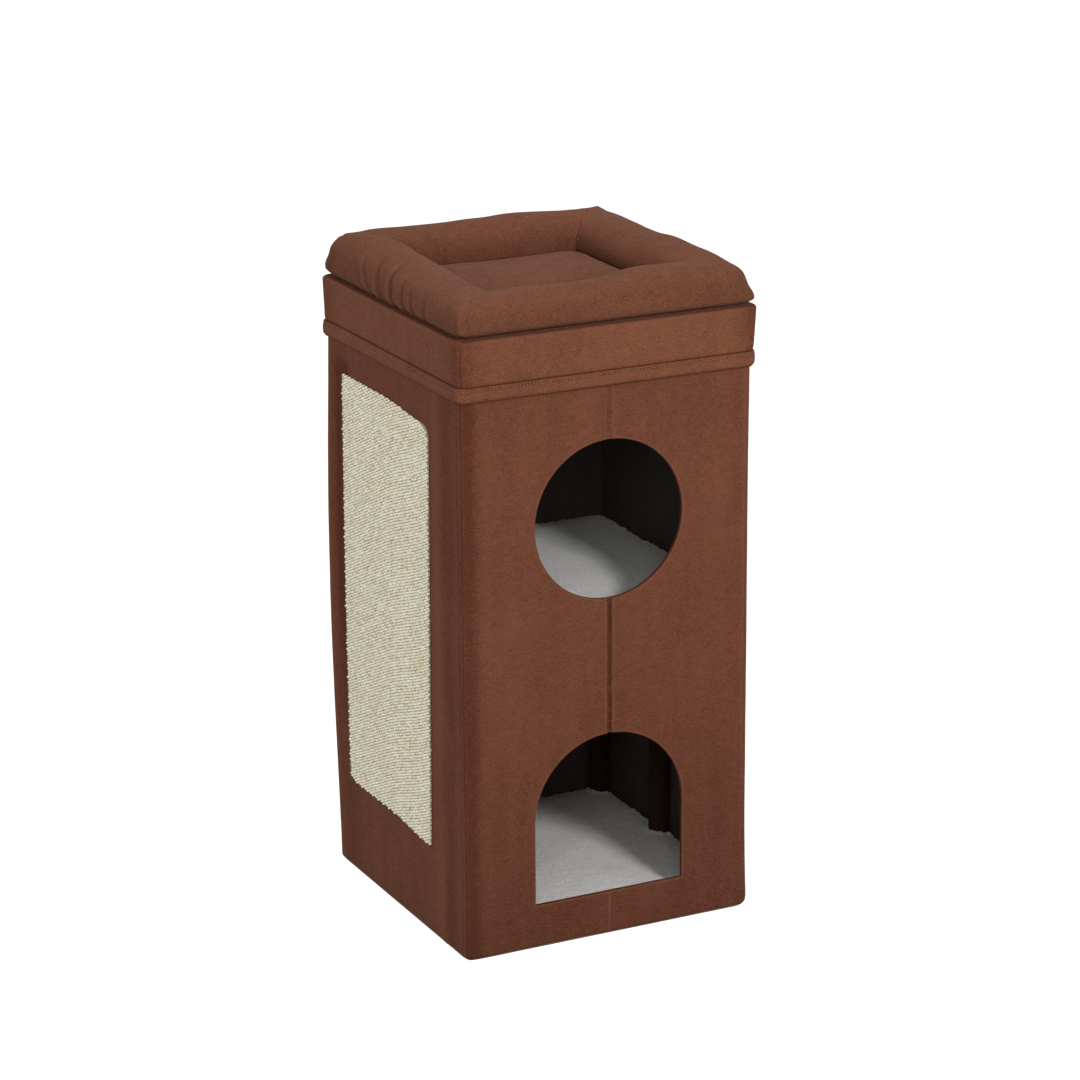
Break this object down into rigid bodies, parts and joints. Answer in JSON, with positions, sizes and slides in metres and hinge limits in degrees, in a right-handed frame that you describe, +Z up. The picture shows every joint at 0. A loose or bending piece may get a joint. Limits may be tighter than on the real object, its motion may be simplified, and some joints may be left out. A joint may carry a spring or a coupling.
{
  "type": "cat condo",
  "caption": "Square suede-covered folding cat tower: round doorway above an arched one, woven scratch pad, fleece floors and a lift-off lid with a bolster bed on top.",
  "frame": {"origin": "centre of the base, on the ground", "axes": "+Z up; -Y is the front with the doorways; -X is the wall with the scratch pad"},
  "size_m": [0.3982, 0.3982, 0.8241],
  "materials": {
    "suede": "brushed suede, matt, mid brown",
    "lining": "dark felted lining",
    "hardboard": "smooth brown hardboard",
    "dowel": "plain turned softwood",
    "fleece": "short-pile off-white fleece",
    "sisal": "pale natural woven fibre"
  },
  "bodies": {
    "tower": {"base_cloth": "lining", "left_wall_board": "hardboard", "right_wall_board": "hardboard", "front_left_board": "hardboard", "front_right_board": "hardboard", "back_left_board": "hardboard", "back_right_board": "hardboard", "left_wall_cover": "suede", "right_wall_cover": "suede", "front_wall_cover": "suede", "back_wall_cover": "suede", "left_wall_lining": "lining", "right_wall_lining": "lining", "front_wall_lining": "lining", "back_wall_lining": "lining", "round_doorway_binding": "suede", "arch_doorway_binding": "suede", "scratch_pad": "sisal", "left_front_post": "dowel", "left_middle_post": "dowel", "left_back_post": "dowel", "right_front_post": "dowel", "right_middle_post": "dowel", "right_back_post": "dowel", "left_front_sleeve": "suede", "left_middle_sleeve": "suede", "left_back_sleeve": "suede", "right_front_sleeve": "suede", "right_middle_sleeve": "suede", "right_back_sleeve": "suede", "floor_board": "hardboard", "floor_pad": "fleece"},
    "shelf": {"shelf_board": "hardboard", "shelf_pad": "fleece"},
    "lid": {"lid_board": "hardboard", "lid_lining": "lining", "lid_top_cover": "suede", "skirt_front": "suede", "skirt_back": "suede", "skirt_left": "suede", "skirt_right": "suede", "hem_band": "suede"},
    "bed": {"bed_base_cloth": "suede", "bed_pad": "suede", "front_bolster": "suede", "back_bolster": "suede", "left_bolster": "suede", "right_bolster": "suede"}
  },
  "joints": [
    {"name": "shelf_lift", "type": "slide", "parent": "tower", "child": "shelf", "axis": [0, 0, 1], "range_m": [0, 0.33]},
    {"name": "lid_lift", "type": "slide", "parent": "tower", "child": "lid", "axis": [0, 0, 1], "range_m": [0, 0.2]},
    {"name": "bed_lift", "type": "slide", "parent": "lid", "child": "bed", "axis": [0, 0, 1], "range_m": [0, 0.12]}
  ]
}
